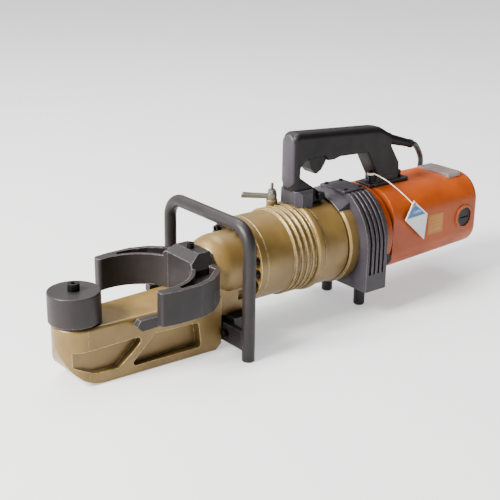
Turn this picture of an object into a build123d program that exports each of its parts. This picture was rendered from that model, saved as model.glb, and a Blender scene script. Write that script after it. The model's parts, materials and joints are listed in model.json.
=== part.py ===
"""Portable electro-hydraulic rebar bender.

Row frame: +X runs back along the tool towards the motor, +Z is up, and the floor is Z = 0.
A fork on a hydraulic ram pushes the bar past a fixed nose roller. Millimetres throughout.
"""
import os
from math import atan, cos, pi, radians, sin, sqrt, tan

from build123d import *

os.makedirs("parts", exist_ok=True)

# ---- driving dimensions ----------------------------------------------------------------
AXIS_Z = 96.0                # height of the tool axis above the floor

X_NOSE = -298.6              # centre of the nose roller
ROLLER_R = 30.9
ROLLER_Z = (71.8, 109.6)
ARM_R = 29.5                 # half width of the arm at the nose
ARM_REAR_HALF = 36.0
ARM_TOP = 71.2
X_ARM_REAR = -116.5
NOSE_BEND = 48.0             # radius of the nose seen from the side

X_DOME = -123.5              # front of the domed ram housing
X_HEAD = -68.0               # front of the bolted head flange
X_JOINT = -58.0              # head to cylinder joint
X_RIM = (22.0, 33.0)         # large rim at the back of the ridges
X_SEAM = 75.6                # rear barrel to adapter ring
X_BLOCK = 90.8               # front of the gear housing
X_BLOCK_REAR = 127.0
X_MOTOR = 140.0              # front of the motor housing
X_TAIL = 329.5               # back of the motor housing

CYL_R = 54.7
DOME_R = 40.5
RIM_R = 60.0
BARREL_R = 57.5
RING_R = 60.4
BLOCK_R = 75.7
BLOCK_BOTTOM = 36.7
BLOCK_TOP = 162.6
LID_TOP = 165.6
MOTOR_R = 61.0
BORE_R = 32.0
ROD_R = 18.0
SPIGOT_R = 40.0

FORK_Z = (71.7, 112.0)
FORK_HALF = 78.5             # outer half width of the fork
THROAT = (-213.0, 63.0)      # centre X and radius of the fork's throat
X_FORK_REAR = -125.0
HUB_TOP = 126.5
HUB_HALF = 23.0

BAIL_X = -110.3
BAIL_HALF = 82.3
BAIL_TOP = 166.4
BAIL_R = 7.9
STRAP = (11.0, 35.0)

FOOT_X, FOOT_Y, FOOT_R = 122.0, 32.6, 7.6
VALVE = (5.0, 18.3)          # X and Y of the release valve

GRIP_HALF = 14.1             # half thickness of the D handle
GRIP_WALL = 3.2

SHAFT_DROP = 27.5            # eccentric shaft below the motor axis
GEAR_MODULE = 1.0
PINION_TEETH = 14
GEAR_TEETH = 41
GEAR_X = (117.0, 127.0)

BRUSH_X, BRUSH_Z = 298.0, 98.5
CABLE_R = 4.0
GUARD_START = (186.8, 217.5)
GUARD_END = (240.6, 201.7)
COIL = (305.0, 178.0)        # X and Y of the put-away coil
COIL_RING = (29.0, 57.5)     # inner and outer radius of its turns
STRING_R = 0.8


def across(x, y=0.0, z=AXIS_Z):
    """A plane square to the tool axis: local x is Y, local y is Z."""
    return Plane(origin=(x, y, z), x_dir=(0, 1, 0), z_dir=(1, 0, 0))


def level(z):
    return Plane.XY.offset(z)


def rod(x0, x1, r_out, r_in=0.0, y=0.0, z=AXIS_Z, mode=Mode.ADD):
    """A bar or tube along the tool axis, in the open part."""
    with BuildSketch(across(x0, y, z)) as section:
        Circle(r_out)
        if r_in:
            Circle(r_in, mode=Mode.SUBTRACT)
    extrude(section.sketch, amount=x1 - x0, mode=mode)


def post(x, y, z0, z1, r_out, r_in=0.0, mode=Mode.ADD):
    """An upright bar or tube, in the open part."""
    with BuildSketch(Plane(origin=(x, y, z0))) as section:
        Circle(r_out)
        if r_in:
            Circle(r_in, mode=Mode.SUBTRACT)
    extrude(section.sketch, amount=z1 - z0, mode=mode)


def spindle(x, y0, y1, z, r_out, r_in=0.0, mode=Mode.ADD):
    """A bar or tube along Y, in the open part."""
    with BuildSketch(Plane(origin=(x, y0, z), x_dir=(1, 0, 0), z_dir=(0, 1, 0))) as section:
        Circle(r_out)
        if r_in:
            Circle(r_in, mode=Mode.SUBTRACT)
    extrude(section.sketch, amount=y1 - y0, mode=mode)


def block(x, y, z, mode=Mode.ADD):
    """A box from three (low, high) pairs, in the open part."""
    middle = tuple((a + b) / 2 for a, b in (x, y, z))
    with Locations(middle):
        Box(x[1] - x[0], y[1] - y[0], z[1] - z[0], mode=mode)


def turned(points, mode=Mode.ADD):
    """Revolve an (x, radius) outline about the tool axis, in the open part."""
    with BuildSketch(Plane.XZ) as section:
        with BuildLine():
            Polyline([(x, AXIS_Z + r) for x, r in points], close=True)
        make_face()
    revolve(section.sketch, axis=Axis((0, 0, AXIS_Z), (1, 0, 0)), mode=mode)


def side_plate(points, y0, y1, mode=Mode.ADD):
    """A plate whose outline is given in X and Z, from y0 to y1, in the open part."""
    with BuildSketch(Plane.XZ.offset(-y1)) as section:
        with BuildLine():
            Polyline(points, close=True)
        make_face()
    extrude(section.sketch, amount=y1 - y0, mode=mode)


def cap_screw(x, y, z, head_r, head_h, shank_r, shank, socket_r):
    """An upright socket head screw whose head stands on z, in the open part."""
    post(x, y, z - shank, z, shank_r)
    post(x, y, z, z + head_h, head_r)
    with BuildSketch(Plane(origin=(x, y, z + head_h))) as socket:
        RegularPolygon(socket_r, 6)
    extrude(socket.sketch, amount=-0.55 * head_h, mode=Mode.SUBTRACT)


def keep(builder, name):
    builder.part.label = name
    export_step(builder.part, f"parts/{name}.step")


# ---- head ------------------------------------------------------------------------------
with BuildPart() as head_frame:
    # arm: a plan outline with a round nose, cut to its side profile
    with BuildSketch(level(0)):
        with BuildLine():
            Polyline(
                (X_NOSE, ARM_R),
                (X_ARM_REAR, ARM_REAR_HALF),
                (X_ARM_REAR, -ARM_REAR_HALF),
                (X_NOSE, -ARM_R),
                close=True,
            )
        make_face()
        with Locations((X_NOSE + 2, 0)):
            Circle(ARM_R)
    extrude(amount=ARM_TOP)
    nose_x = X_NOSE + 2 - ARM_R
    with BuildSketch(Plane.XZ):
        with BuildLine():
            Polyline(
                (nose_x, NOSE_BEND),
                (nose_x, ARM_TOP),
                (X_ARM_REAR, ARM_TOP),
                (X_ARM_REAR, 7.0),
                (X_ARM_REAR - 8.0, 0.0),
                (nose_x + NOSE_BEND, 0.0),
            )
            RadiusArc((nose_x + NOSE_BEND, 0.0), (nose_x, NOSE_BEND), NOSE_BEND)
        make_face()
    extrude(amount=60, both=True, mode=Mode.INTERSECT)
    crown = head_frame.edges().filter_by_position(Axis.Z, ARM_TOP - 0.01, ARM_TOP + 0.01)
    fillet(crown, radius=4.0)
    # two pockets in each side, with a raking rib between them
    for side in (-1, 1):
        for outline, round_r in (
            (((-322, 43), (-222, 46), (-242, 28), (-261, 13), (-290, 14), (-322, 28)), 5.0),
            (((-211, 45), (-150, 43), (-146, 10), (-247, 10)), 4.0),
        ):
            start = 50 if side > 0 else -50 + 28.0
            with BuildSketch(Plane.XZ.offset(-start)) as pocket:
                with BuildLine():
                    Polyline(outline, close=True)
                make_face()
                fillet(pocket.vertices(), radius=round_r)
            extrude(amount=28.0, mode=Mode.SUBTRACT)
    # domed ram housing, neck and bolted flange
    with BuildSketch(Plane.XZ):
        with BuildLine():
            Polyline((X_DOME, AXIS_Z), (X_DOME, AXIS_Z + 30.0))
            Spline(
                (X_DOME, AXIS_Z + 30.0),
                (X_DOME + 5.5, AXIS_Z + 35.2),
                (X_DOME + 14, AXIS_Z + 38.8),
                (X_HEAD - 28, AXIS_Z + DOME_R),
                tangents=((0.5, 1.0), (1.0, 0.0)),
            )
            Polyline(
                (X_HEAD - 28, AXIS_Z + DOME_R),
                (X_HEAD, AXIS_Z + DOME_R),
                (X_HEAD, AXIS_Z + CYL_R),
                (X_JOINT, AXIS_Z + CYL_R),
                (X_JOINT, AXIS_Z),
                (X_DOME, AXIS_Z),
            )
        make_face()
    revolve(axis=Axis((0, 0, AXIS_Z), (1, 0, 0)))
    block((X_ARM_REAR - 6, X_HEAD + 2), (-32, 32), (42, 84))
    block((X_DOME, X_ARM_REAR + 1), (-30, 30), (66, 84))
    for index in range(18):
        angle = radians(5 + 20 * index)
        rod(X_HEAD - 20, X_HEAD, 6.2, y=47.3 * cos(angle),
            z=AXIS_Z + 47.3 * sin(angle), mode=Mode.SUBTRACT)
    rod(X_DOME - 1, X_JOINT + 1, 22.0, mode=Mode.SUBTRACT)
    post(X_NOSE, 0, 28.0, ARM_TOP + 1, 12.0, mode=Mode.SUBTRACT)
keep(head_frame, "head_frame")

with BuildPart() as mandrel_pin:
    post(X_NOSE, 0, 28.0, 101.0, 12.0)
    post(X_NOSE, 0, 70.0, 102.0, 4.0, mode=Mode.SUBTRACT)
    chamfer(mandrel_pin.edges().sort_by(Axis.Z)[0], length=1.0)
keep(mandrel_pin, "mandrel_pin")

with BuildPart() as mandrel_roller:
    post(X_NOSE, 0, *ROLLER_Z, ROLLER_R)
    chamfer(mandrel_roller.edges().group_by(Axis.Z)[0], length=2.5)
    fillet(mandrel_roller.edges().group_by(Axis.Z)[-1], radius=1.6)
    post(X_NOSE, 0, ROLLER_Z[0] - 1, 101.2, 12.05, mode=Mode.SUBTRACT)
    post(X_NOSE, 0, 100.0, ROLLER_Z[1] + 1, 4.3, mode=Mode.SUBTRACT)
keep(mandrel_roller, "mandrel_roller")

with BuildPart() as mandrel_bolt:
    cap_screw(X_NOSE, 0, ROLLER_Z[1] + 0.1, 7.0, 8.6, 4.0, 36.0, 3.6)
keep(mandrel_bolt, "mandrel_bolt")

# ---- fork and ram ----------------------------------------------------------------------
throat_x, throat_r = THROAT
tip_x = -229.0
hub_face = -155.0
fork_outline = (
    (tip_x, 75.5), (-206, FORK_HALF), (-176, FORK_HALF), (-153, 71), (-134, 55), (X_FORK_REAR, 44),
)
with BuildPart() as bending_fork:
    with BuildSketch(level(FORK_Z[0])) as plan:
        with BuildLine():
            Polyline(fork_outline + tuple((x, -y) for x, y in reversed(fork_outline)), close=True)
        make_face()
        with Locations((throat_x, 0)):
            Circle(throat_r, mode=Mode.SUBTRACT)
    extrude(amount=FORK_Z[1] - FORK_Z[0])
    uprights = bending_fork.edges().filter_by(Axis.Z)
    fillet(uprights.filter_by(lambda edge: edge.center().X < tip_x + 1), radius=4.5)
    # a pocket in the top of each arm, between its outer wall and the hub
    for side in (-1, 1):
        with BuildSketch(level(FORK_Z[1])) as pocket:
            with BuildLine():
                Polyline(
                    (-200, side * 73), (-178, side * 72.5), (-157, side * 65.5),
                    (-133, side * 45), (-133, side * 28), (-160, side * 28), (-200, side * 62),
                    close=True,
                )
            make_face()
            with Locations((throat_x, 0)):
                Circle(throat_r + 5, mode=Mode.SUBTRACT)
        extrude(amount=-11.0, mode=Mode.SUBTRACT)
    # raised hub that holds the ram, with bevelled shoulders
    with BuildSketch(across(X_FORK_REAR)):
        with BuildLine():
            Polyline(
                (-34, FORK_Z[0] - AXIS_Z), (-34, 14), (-HUB_HALF, HUB_TOP - AXIS_Z),
                (HUB_HALF, HUB_TOP - AXIS_Z), (34, 14), (34, FORK_Z[0] - AXIS_Z),
                close=True,
            )
        make_face()
    extrude(amount=-32.0)
    post(throat_x, 0, FORK_Z[0] - 1, HUB_TOP + 1, throat_r, mode=Mode.SUBTRACT)
    side_plate(
        ((hub_face, FORK_Z[0]), (hub_face, HUB_TOP), (hub_face + 6, HUB_TOP),
         (hub_face + 6, FORK_Z[0])),
        -HUB_HALF, HUB_HALF,
    )
    side_plate(
        ((hub_face - 8, 113), (-142, HUB_TOP), (-142, HUB_TOP + 2), (hub_face - 8, HUB_TOP + 2)),
        -40, 40, mode=Mode.SUBTRACT,
    )
    # guide cheeks beside the arm, a long one on the left and a short one on the right
    cheek_top = FORK_Z[0] + 1
    side_plate(
        ((-245, 66), (-240, cheek_top), (-148, cheek_top), (-148, 64), (-200, 60.5), (-238, 59)),
        -48.0, -38.8,
    )
    side_plate(((-172, 64), (-172, cheek_top), (-148, cheek_top), (-148, 64)), 38.8, 48.0)
    rod(X_FORK_REAR - 18, X_FORK_REAR + 1, ROD_R, mode=Mode.SUBTRACT)
    post(-137, 0, AXIS_Z + 5, HUB_TOP + 1, 3.0, mode=Mode.SUBTRACT)
keep(bending_fork, "bending_fork")

with BuildPart() as fork_screw:
    cap_screw(-137, 0, HUB_TOP + 0.3, 4.6, 6.5, 3.0, 12.0, 2.4)
keep(fork_screw, "fork_screw")

PISTON_X = (51.0, 73.0)
with BuildPart() as ram:
    rod(X_FORK_REAR - 18, PISTON_X[0] + 8, ROD_R)
    chamfer(ram.edges().sort_by(Axis.X)[0], length=1.0)
    rod(PISTON_X[0] + 8, PISTON_X[1] - 2, 10.0)
keep(ram, "ram")

with BuildPart() as piston:
    turned((
        (PISTON_X[0], ROD_R), (PISTON_X[0], BORE_R - 0.05), (58, BORE_R - 0.05), (58, 27.5),
        (65, 27.5), (65, BORE_R - 0.05), (PISTON_X[1] - 0.5, BORE_R - 0.05),
        (PISTON_X[1] - 0.5, 10.0), (PISTON_X[0] + 8, 10.0), (PISTON_X[0] + 8, ROD_R),
    ))
keep(piston, "piston")

with BuildPart() as piston_seal:
    rod(58.3, 64.7, BORE_R - 0.03, 27.5)
keep(piston_seal, "piston_seal")

with BuildPart() as rod_bush:
    rod(-112, X_JOINT - 1, 22.0, ROD_R + 0.05)
keep(rod_bush, "rod_bush")

with BuildPart() as rod_wiper:
    rod(X_DOME + 1.5, -112, 22.0, ROD_R + 0.05)
keep(rod_wiper, "rod_wiper")

with BuildPart() as return_spring:
    with BuildLine(mode=Mode.PRIVATE) as coil_path:
        Helix(pitch=14.0, height=98.0, radius=24.0, center=(-54.0, 0, AXIS_Z), direction=(1, 0, 0))
    path = coil_path.line
    with BuildSketch(Plane(origin=path @ 0, z_dir=path % 0)):
        Circle(2.4)
    sweep(path=path, is_frenet=True)
keep(return_spring, "return_spring")

# ---- front bail ------------------------------------------------------------------------
with BuildPart() as bail_handle:
    with BuildLine() as bail_path:
        FilletPolyline(
            (BAIL_X, -BAIL_HALF, 0), (BAIL_X, -BAIL_HALF, BAIL_TOP),
            (BAIL_X, BAIL_HALF, BAIL_TOP), (BAIL_X, BAIL_HALF, 0),
            radius=26.0,
        )
    with BuildSketch(Plane(origin=(BAIL_X, -BAIL_HALF, 0))):
        Circle(BAIL_R)
    sweep()
    block((BAIL_X - 4, BAIL_X + 4), (-BAIL_HALF, BAIL_HALF), STRAP)
keep(bail_handle, "bail_handle")

with BuildPart() as bail_bracket:
    block((BAIL_X + 4, -76), (-50, 50), (12, 42))
    chamfer(bail_bracket.edges().filter_by(Axis.Y).sort_by(Axis.X)[-2:].sort_by(Axis.Z)[0], length=20)
keep(bail_bracket, "bail_bracket")

with BuildPart() as bail_bolts:
    for y in (-43.5, 43.5):
        rod(BAIL_X - 9.5, BAIL_X - 4, 5.0, y=y, z=23)
keep(bail_bolts, "bail_bolts")

# ---- flange bolts ----------------------------------------------------------------------
with BuildPart() as flange_bolts:
    for index in range(18):
        angle = radians(5 + 20 * index)
        y, z = 47.3 * cos(angle), AXIS_Z + 47.3 * sin(angle)
        rod(X_HEAD - 7.0, X_HEAD, 4.6, y=y, z=z)
        rod(X_HEAD - 7.0, X_HEAD - 4.0, 2.4, y=y, z=z, mode=Mode.SUBTRACT)
keep(flange_bolts, "flange_bolts")

# ---- cylinder and rear barrel ----------------------------------------------------------
ridge_pitch = 9.3
with BuildPart() as cylinder:
    turned((
        (X_JOINT, 0), (X_JOINT, CYL_R - 1), (X_JOINT + 1, CYL_R), (X_RIM[0] - 1, CYL_R),
        (X_RIM[0], RIM_R - 2), (X_RIM[0] + 1.6, RIM_R - 0.5), (X_RIM[0] + 4, RIM_R),
        (X_RIM[1] - 3.4, RIM_R), (X_RIM[1] - 1.2, RIM_R - 0.5), (X_RIM[1], RIM_R - 1.6),
        (X_RIM[1], SPIGOT_R), (X_SEAM - 0.5, SPIGOT_R), (X_SEAM - 0.5, 0),
    ))
    for index in range(4):
        x = X_RIM[0] - ridge_pitch * (index + 1)
        turned((
            (x - 0.6, CYL_R - 1), (x, CYL_R + 1.6), (x + 0.8, CYL_R + 2.6),
            (x + 2.2, CYL_R + 2.6), (x + 3.0, CYL_R + 1.6), (x + 3.6, CYL_R - 1),
        ))
    rod(X_JOINT - 1, PISTON_X[1], BORE_R, mode=Mode.SUBTRACT)
    post(*VALVE, AXIS_Z + 45, AXIS_Z + 62, 7.5)
    post(*VALVE, AXIS_Z + 40, AXIS_Z + 63, 4.0, mode=Mode.SUBTRACT)
keep(cylinder, "cylinder")

with BuildPart() as rear_barrel:
    turned((
        (X_RIM[1], SPIGOT_R), (X_RIM[1], BARREL_R - 2), (X_RIM[1] + 2, BARREL_R),
        (X_SEAM - 3, BARREL_R), (X_SEAM, BARREL_R - 2), (X_SEAM, 52.5), (37, 52.5), (37, SPIGOT_R),
    ))
keep(rear_barrel, "rear_barrel")

with BuildPart() as oil_bladder:
    turned((
        (37.5, 40.6), (37.5, 52.0), (75.0, 52.0), (75.0, 50.0), (39.5, 50.0), (39.5, 42.6),
        (75.0, 42.6), (75.0, 40.6),
    ))
keep(oil_bladder, "oil_bladder")

with BuildPart() as adapter_ring:
    turned((
        (X_SEAM, 24.0), (X_SEAM, RING_R - 2.0), (X_SEAM + 2.0, RING_R), (X_BLOCK, RING_R),
        (X_BLOCK, 24.0),
    ))
keep(adapter_ring, "adapter_ring")

# ---- pump and gears --------------------------------------------------------------------
shaft_z = AXIS_Z - SHAFT_DROP
with BuildPart() as pump_body:
    rod(X_BLOCK, 112.0, 50.0)
    rod(X_SEAM + 0.5, X_BLOCK, 23.9)
    rod(91.8, 113.0, 8.05, z=shaft_z, mode=Mode.SUBTRACT)
    rod(96.2, 108.0, 15.0, z=shaft_z, mode=Mode.SUBTRACT)
    rod(106.0, 113.0, 13.0, z=shaft_z, mode=Mode.SUBTRACT)
    spindle(101.0, -60, 60, shaft_z, 5.05, mode=Mode.SUBTRACT)
keep(pump_body, "pump_body")

with BuildPart() as pump_plungers:
    for side in (-1, 1):
        low, high = sorted((side * 11.5, side * 30.0))
        spindle(101.0, low, high, shaft_z, 5.0)
keep(pump_plungers, "pump_plungers")

with BuildPart() as eccentric_shaft:
    rod(92.0, 131.5, 6.0, z=shaft_z)
    rod(97.0, 105.5, 10.0, z=shaft_z + 1.0)
keep(eccentric_shaft, "eccentric_shaft")

with BuildPart() as shaft_bearings:
    rod(92.0, 96.0, 8.0, 6.02, z=shaft_z)
    rod(106.3, 111.8, 13.0, 6.02, z=shaft_z)
    rod(128.2, 132.0, 10.0, 6.02, z=shaft_z)
keep(shaft_bearings, "shaft_bearings")


def gear_outline(teeth, phase, slack=0.14):
    """Points of an involute spur gear about its own centre; phase turns it, in radians."""
    pitch_r = GEAR_MODULE * teeth / 2
    base_r = pitch_r * cos(radians(20))
    tip_r = pitch_r + 0.85 * GEAR_MODULE
    root_r = pitch_r - 1.15 * GEAR_MODULE
    half_at_pitch = (pi / 2 - slack) / teeth
    involute = tan(radians(20)) - radians(20)
    points = []
    for tooth in range(teeth):
        middle = phase + 2 * pi * tooth / teeth
        flank = []
        for step in range(4):
            r = max(base_r, root_r) + (tip_r - max(base_r, root_r)) * step / 3
            turn = sqrt(max((r / base_r) ** 2 - 1, 0.0))
            half = half_at_pitch + involute - (turn - atan(turn))
            flank.append((r, half))
        if root_r < base_r:
            flank.insert(0, (root_r, flank[0][1]))
        left = [(r, -half) for r, half in flank]
        right = [(r, half) for r, half in reversed(flank)]
        points += [(r * cos(middle + a), r * sin(middle + a)) for r, a in left + right]
    return points


with BuildPart() as drive_gear:
    with BuildSketch(across(GEAR_X[0] + 1, z=shaft_z)):
        with BuildLine():
            Polyline(gear_outline(GEAR_TEETH, pi / 2), close=True)
        make_face()
        Circle(6.0, mode=Mode.SUBTRACT)
        with PolarLocations(13.0, 5):
            Circle(3.2, mode=Mode.SUBTRACT)
    extrude(amount=8.0)
keep(drive_gear, "drive_gear")

# ---- gear housing, cover, feet ---------------------------------------------------------
def housing_slab(x, half, width):
    """A slab of the housing's arched section, flat on top for the cover, in the open part."""
    with BuildSketch(across(x)) as section:
        Circle(half)
        with Locations((0, (BLOCK_BOTTOM - AXIS_Z) / 2)):
            Rectangle(2 * half, AXIS_Z - BLOCK_BOTTOM)
        with Locations((0, -200 + BLOCK_BOTTOM - AXIS_Z)):
            Rectangle(400, 400, mode=Mode.SUBTRACT)
        with Locations((0, 200 + BLOCK_TOP - AXIS_Z)):
            Rectangle(400, 400, mode=Mode.SUBTRACT)
    extrude(section.sketch, amount=width)


with BuildPart() as gear_housing:
    housing_slab(X_BLOCK, BLOCK_R - 4.2, X_BLOCK_REAR - X_BLOCK)
    for x, width in ((X_BLOCK, 4.0), (99.6, 3.6), (107.0, 3.6), (114.4, 3.6), (121.8, 5.2)):
        housing_slab(x, BLOCK_R, width)
    block((X_BLOCK, X_BLOCK_REAR), (-BLOCK_R, BLOCK_R), (BLOCK_BOTTOM, 60.0))
    rod(X_BLOCK_REAR, X_MOTOR, 64.0)
    # the right shoulder is sloped off
    with BuildSketch(across(X_BLOCK - 1)) as slope:
        with BuildLine():
            Polyline((18.5, 66.7), (60, 47.4), (80, 66.7), close=True)
        make_face()
    extrude(slope.sketch, amount=X_BLOCK_REAR - X_BLOCK + 2, mode=Mode.SUBTRACT)
    rod(X_BLOCK - 1, 128.0, 50.2, mode=Mode.SUBTRACT)
    rod(127.0, 134.0, 10.0, z=shaft_z, mode=Mode.SUBTRACT)
    rod(127.0, X_MOTOR + 1, 11.0, mode=Mode.SUBTRACT)
    spindle(133.5, -70, -58, 74.0, 5.05, mode=Mode.SUBTRACT)
    for side in (-1, 1):
        post(FOOT_X, side * FOOT_Y, BLOCK_BOTTOM - 1, BLOCK_BOTTOM + 8, 4.0, mode=Mode.SUBTRACT)
keep(gear_housing, "gear_housing")

with BuildPart() as top_cover:
    # a hood that rises from the adapter ring, then a flat lid on the housing
    turned((
        (X_SEAM - 4, RING_R + 0.2), (X_SEAM - 4, RING_R + 1.2), (X_SEAM + 5, RING_R + 4.6),
        (X_BLOCK, RING_R + 8.0), (X_BLOCK, RING_R + 0.2),
    ))
    block((X_SEAM - 5, X_BLOCK), (-38, 24), (AXIS_Z + 40, LID_TOP), mode=Mode.INTERSECT)
    block((X_BLOCK - 3, 126.5), (-30, 18), (BLOCK_TOP, LID_TOP))
    chamfer(top_cover.edges().filter_by(Axis.X).group_by(Axis.Z)[-1], length=1.0)
keep(top_cover, "top_cover")

with BuildPart() as cover_screws:
    for x in (95.0, 121.0):
        for y in (-25.0, 13.0):
            post(x, y, LID_TOP, LID_TOP + 1.6, 2.7)
            post(x, y, LID_TOP + 0.8, LID_TOP + 2, 1.3, mode=Mode.SUBTRACT)
keep(cover_screws, "cover_screws")

with BuildPart() as oil_plug:
    spindle(133.5, -67.5, -59.0, 74.0, 5.0)
    spindle(133.5, -71.5, -67.5, 74.0, 6.5)
keep(oil_plug, "oil_plug")

for side, name in ((-1, "rear_foot_left"), (1, "rear_foot_right")):
    with BuildPart() as foot:
        post(FOOT_X, side * FOOT_Y, 0, BLOCK_BOTTOM, FOOT_R)
        chamfer(foot.edges().group_by(Axis.Z)[0], length=1.5)
        post(FOOT_X, side * FOOT_Y, BLOCK_BOTTOM, BLOCK_BOTTOM + 8, 4.0)
    keep(foot, name)

# ---- release valve ---------------------------------------------------------------------
valve_x, valve_y = VALVE
valve_top = AXIS_Z + 62.0
with BuildPart() as release_valve:
    post(valve_x, valve_y, AXIS_Z + 42, valve_top + 12.0, 3.95)
keep(release_valve, "release_valve")

LEVER_ANGLE = 136.0
with BuildPart() as valve_lever:
    post(valve_x, valve_y, valve_top + 0.5, valve_top + 8.0, 6.4)
    along = Plane(origin=(valve_x, valve_y, valve_top + 2.0)).rotated((0, 0, LEVER_ANGLE))
    with BuildSketch(along):
        with BuildLine():
            Polyline((0, -4.2), (34, -5.6), (39.5, -6.2), (37, 0), (39.5, 6.2), (34, 5.6), (0, 4.2),
                     close=True)
        make_face()
    extrude(amount=4.6)
    post(valve_x, valve_y, valve_top, valve_top + 9.0, 3.95, mode=Mode.SUBTRACT)
keep(valve_lever, "valve_lever")

with BuildPart() as lever_nut:
    with BuildSketch(level(valve_top + 8.2)):
        with Locations(VALVE):
            RegularPolygon(6.0, 6)
            Circle(3.95, mode=Mode.SUBTRACT)
    extrude(amount=4.0)
    block((valve_x - 1.4, valve_x + 1.4), (valve_y - 1.4, valve_y + 1.4),
          (valve_top + 12.2, valve_top + 22.0))
    post(valve_x, valve_y, valve_top + 12.1, valve_top + 13.5, 4.4)
keep(lever_nut, "lever_nut")

# ---- motor -----------------------------------------------------------------------------
MOTOR_HALF, MOTOR_HIGH = 57.0, 59.0
MOTOR_LOW = (-50.5, -43.5)   # underside at the front and at the tail, from the axis
MOTOR_BORE = 42.0


def motor_section(x, low):
    """The motor's section, with wide shoulders and a narrower rounding underneath."""
    with BuildSketch(across(x)) as section:
        with BuildLine():
            Polyline((-MOTOR_HALF, low), (-MOTOR_HALF, MOTOR_HIGH), (MOTOR_HALF, MOTOR_HIGH),
                     (MOTOR_HALF, low), close=True)
        make_face()
        fillet(section.vertices().sort_by(Axis.Y)[2:], radius=38.0)
        fillet(section.vertices().sort_by(Axis.Y)[:2], radius=28.0)
    return section.sketch


with BuildPart() as motor_housing:
    rod(X_MOTOR, 153.0, MOTOR_R)
    fillet(motor_housing.edges().group_by(Axis.X)[-1], radius=3.0)
    rod(152.0, 157.0, 51.0)
    loft([motor_section(156.0, MOTOR_LOW[0]), motor_section(X_TAIL, MOTOR_LOW[1])])
    fillet(motor_housing.edges().group_by(Axis.X)[-1], radius=11.0)
    for side in (-1, 1):
        low, high = sorted((side * 50.0, side * (MOTOR_HALF + 2.0)))
        spindle(BRUSH_X, low, high, BRUSH_Z, 17.5)
    rod(145.0, X_TAIL - 7, MOTOR_BORE, mode=Mode.SUBTRACT)
    rod(X_MOTOR - 1, 146.0, 24.0, mode=Mode.SUBTRACT)
    for side in (-1, 1):
        low, high = sorted((side * 40.0, side * (MOTOR_HALF + 3.0)))
        spindle(BRUSH_X, low, high, BRUSH_Z, 13.8, mode=Mode.SUBTRACT)
    for z in (-27, -13.5, 0, 13.5, 27):
        block((X_TAIL - 9, X_TAIL + 1), (-26, 26), (AXIS_Z + z - 2.5, AXIS_Z + z + 2.5),
              mode=Mode.SUBTRACT)
keep(motor_housing, "motor_housing")

with BuildPart() as stator:
    with BuildSketch(across(192.0)):
        Circle(MOTOR_BORE)
        Circle(30.5, mode=Mode.SUBTRACT)
        with PolarLocations(30.5, 12):
            Circle(2.4, mode=Mode.SUBTRACT)
    extrude(amount=70.0)
keep(stator, "stator")

with BuildPart() as armature:
    rod(GEAR_X[1] + 1, 318.0, 6.0)
    with BuildSketch(across(GEAR_X[0])):
        with BuildLine():
            Polyline(gear_outline(PINION_TEETH, -pi / 2 + pi / PINION_TEETH), close=True)
        make_face()
    extrude(amount=GEAR_X[1] + 1 - GEAR_X[0])
    with BuildSketch(across(194.0)):
        Circle(29.6)
        with PolarLocations(29.6, 12):
            Rectangle(5.0, 3.0, mode=Mode.SUBTRACT)
    extrude(amount=66.0)
keep(armature, "armature")

with BuildPart() as commutator:
    rod(287.0, 309.0, 16.0, 6.0)
    with Locations(across(287.0)):
        with PolarLocations(16.0, 16):
            Box(1.2, 0.9, 60.0, mode=Mode.SUBTRACT)
keep(commutator, "commutator")

with BuildPart() as cooling_fan:
    rod(164.0, 167.0, 40.0, 6.0)
    rod(164.0, 176.0, 11.0, 6.0)
    with Locations(across(171.0)):
        with PolarLocations(25.0, 10):
            Box(29.0, 2.0, 10.0)
keep(cooling_fan, "cooling_fan")

with BuildPart() as motor_bearings:
    rod(135.5, 144.0, 11.0, 6.02)
    rod(314.0, 322.4, 13.0, 6.02)
    rod(318.2, X_TAIL - 7, MOTOR_BORE - 0.1, 13.0)
keep(motor_bearings, "motor_bearings")

for name, radius, inner, near, far in (
    ("brush_caps", 13.7, 0.0, 52.0, 57.5),
    ("brush_holders", 9.0, 4.6, 19.5, 51.9),
    ("carbon_brushes", 4.5, 0.0, 16.25, 38.0),
):
    with BuildPart() as brush_part:
        for side in (-1, 1):
            low, high = sorted((side * near, side * far))
            spindle(BRUSH_X, low, high, BRUSH_Z, radius, inner)
            if name == "brush_caps":
                block((BRUSH_X - 8, BRUSH_X + 8), tuple(sorted((side * 56.0, side * 58.0))),
                      (BRUSH_Z - 1.2, BRUSH_Z + 1.2), mode=Mode.SUBTRACT)
    keep(brush_part, name)

with BuildPart() as nameplate:
    block((284, 312), (-34, 24), (AXIS_Z + 50, AXIS_Z + MOTOR_HIGH + 2.4))
    fillet(nameplate.edges().filter_by(Axis.Z), radius=2.5)
    extrude(motor_section(280, MOTOR_LOW[0]), amount=40, mode=Mode.SUBTRACT)
keep(nameplate, "nameplate")

with BuildPart() as side_label:
    block((224, 254), (-MOTOR_HALF - 0.5, -MOTOR_HALF), (86, 114))
keep(side_label, "side_label")

# ---- D handle --------------------------------------------------------------------------
handle_outer = (
    (15, 173.2), (15, 248.5), (160, 238.0), (170, 236.2), (187, 226.5), (187, 209),
    (203, 184), (204.5, 168.2), (166, 168.2), (144, 206.0), (94, 208.0), (84, 205.5),
    (73, 206), (67, 212.5), (37, 212.5), (26, 203), (25.5, 190), (66, 162), (66, 154.5),
    (48, 154.5), (48, 173.2),
)
handle_cavity = (
    (18.5, 178), (18.5, 243.5), (160, 234.5), (169, 232.8), (183.5, 224.6), (183.5, 210),
    (199, 185), (200.5, 172), (170, 172), (147, 209.8), (94, 211.4), (84, 208.9), (75, 209.4),
    (68.5, 216), (35.5, 216), (22.3, 204.5), (22.3, 190), (38, 178),
)


def crown_edge(edge):
    """True for the rim edges of the handle's front and top."""
    middle = edge.center()
    return middle.X < 19 or middle.Z > 230


def grip_edge(edge):
    """True for the rim edges around the finger gap."""
    middle = edge.center()
    return 176 < middle.Z < 216 and 22 < middle.X < 160


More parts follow.
